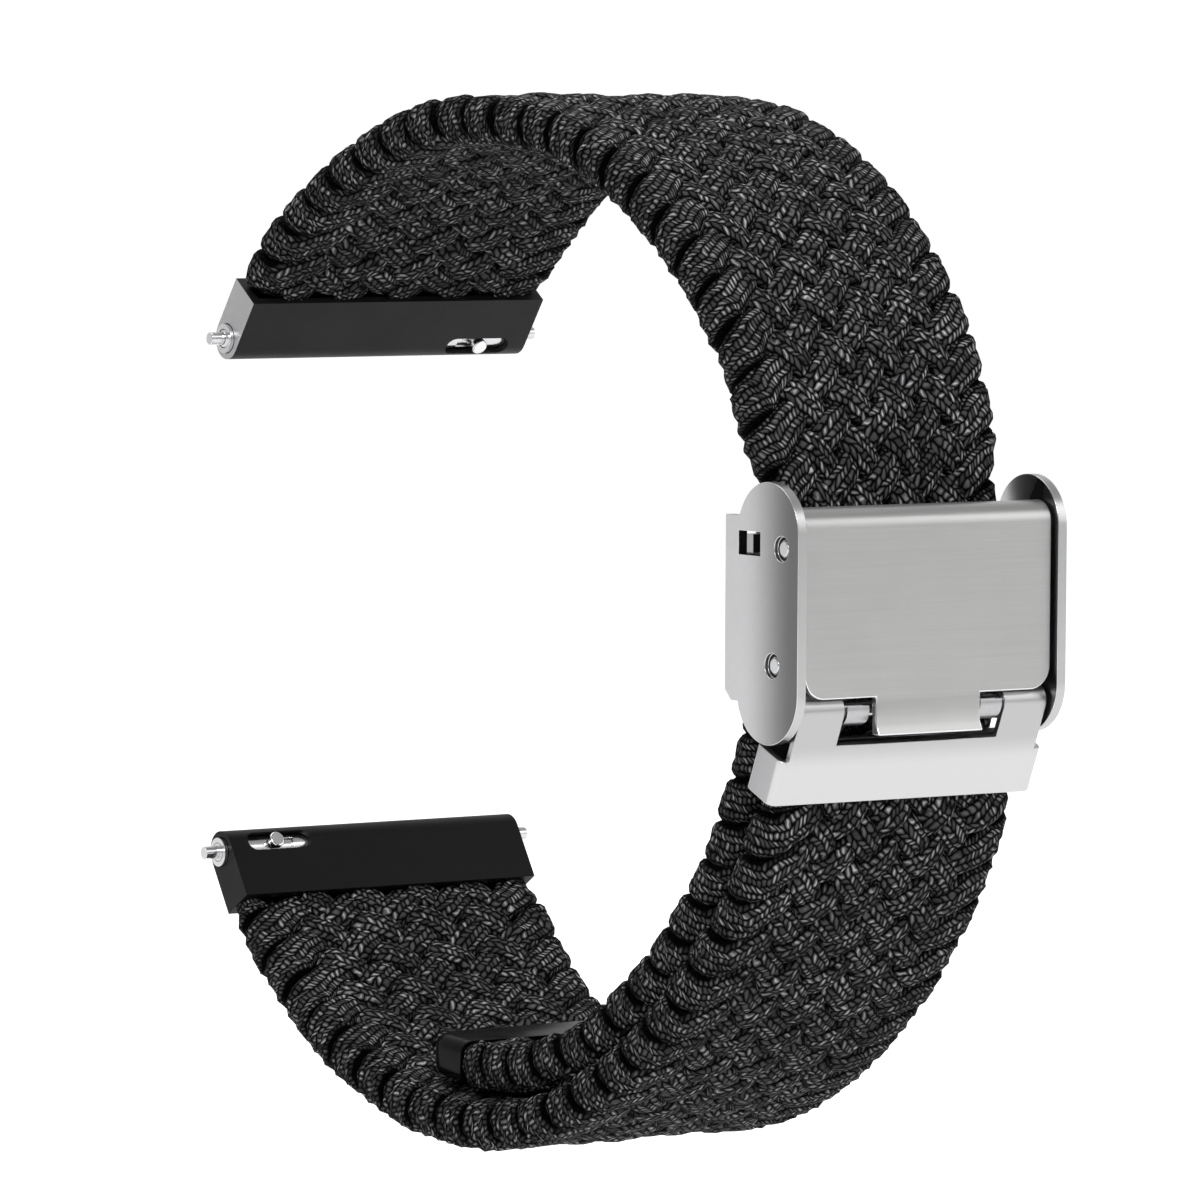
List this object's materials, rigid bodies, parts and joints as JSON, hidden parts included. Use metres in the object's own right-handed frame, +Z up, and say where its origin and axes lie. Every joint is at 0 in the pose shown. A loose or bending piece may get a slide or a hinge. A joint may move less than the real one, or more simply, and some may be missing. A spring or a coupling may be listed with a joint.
{
  "type": "watch band",
  "caption": "Braided cord watch band, closed as worn, with quick-release end pieces, a free tail and a folding steel slide clasp.",
  "frame": {"origin": "midway between the two spring bar axes, where the watch sits", "axes": "+X along the band's width, +Y from the clasp towards the watch, +Z up towards the long strap's end piece"},
  "size_m": [0.024, 0.0614, 0.0631],
  "materials": {
    "braid": "matte braided cord with fine plait",
    "cap": "glossy",
    "black_metal": "satin black",
    "bar_steel": "bright turned steel",
    "satin_steel": "satin",
    "brushed_lid": "brushed along the width",
    "polished_steel": "polished"
  },
  "bodies": {
    "frame": {"upper_strap": "braid", "tail_tip": "cap", "upper_end_piece": "black_metal", "upper_bar_tube": "bar_steel", "upper_bar_fixed_tip": "bar_steel", "upper_bar_spring": "bar_steel", "clasp_frame": "satin_steel", "lid_pin": "bar_steel", "hook_pin": "bar_steel", "hook_plate": "polished_steel"},
    "lid": {"clasp_lid": "brushed_lid"},
    "lock": {"lock_plate": "satin_steel"},
    "lower": {"lower_strap": "braid", "hook_bracket": "polished_steel", "bracket_back_plate": "satin_steel", "bracket_bar": "bar_steel", "lower_end_piece": "black_metal", "lower_bar_tube": "bar_steel", "lower_bar_fixed_tip": "bar_steel", "lower_bar_spring": "bar_steel"},
    "upper_release": {"upper_bar_sprung_tip": "bar_steel", "upper_release_knob": "polished_steel"},
    "lower_release": {"lower_bar_sprung_tip": "bar_steel", "lower_release_knob": "polished_steel"}
  },
  "joints": [
    {"name": "lid_hinge", "type": "hinge", "parent": "frame", "child": "lid", "pos_m": [0, -0.05819, 0.00618], "axis": [-1, 0, 0], "range_deg": [0, 100]},
    {"name": "lock_plate_hinge", "type": "hinge", "parent": "frame", "child": "lock", "pos_m": [0, -0.05504, 0.00635], "axis": [1, 0, 0], "range_deg": [0, 45]},
    {"name": "bracket_swing", "type": "hinge", "parent": "frame", "child": "lower", "pos_m": [0, -0.05814, -0.00298], "axis": [-1, 0, 0], "range_deg": [0, 35]},
    {"name": "upper_release_slide", "type": "slide", "parent": "frame", "child": "upper_release", "axis": [-1, 0, 0], "range_m": [0, 0.0011], "stiffness_N_per_m": 400, "springref_m": -0.002, "deforming": ["upper_bar_spring"]},
    {"name": "lower_release_slide", "type": "slide", "parent": "lower", "child": "lower_release", "axis": [1, 0, 0], "range_m": [0, 0.0011], "stiffness_N_per_m": 400, "springref_m": -0.002, "deforming": ["lower_bar_spring"]}
  ]
}
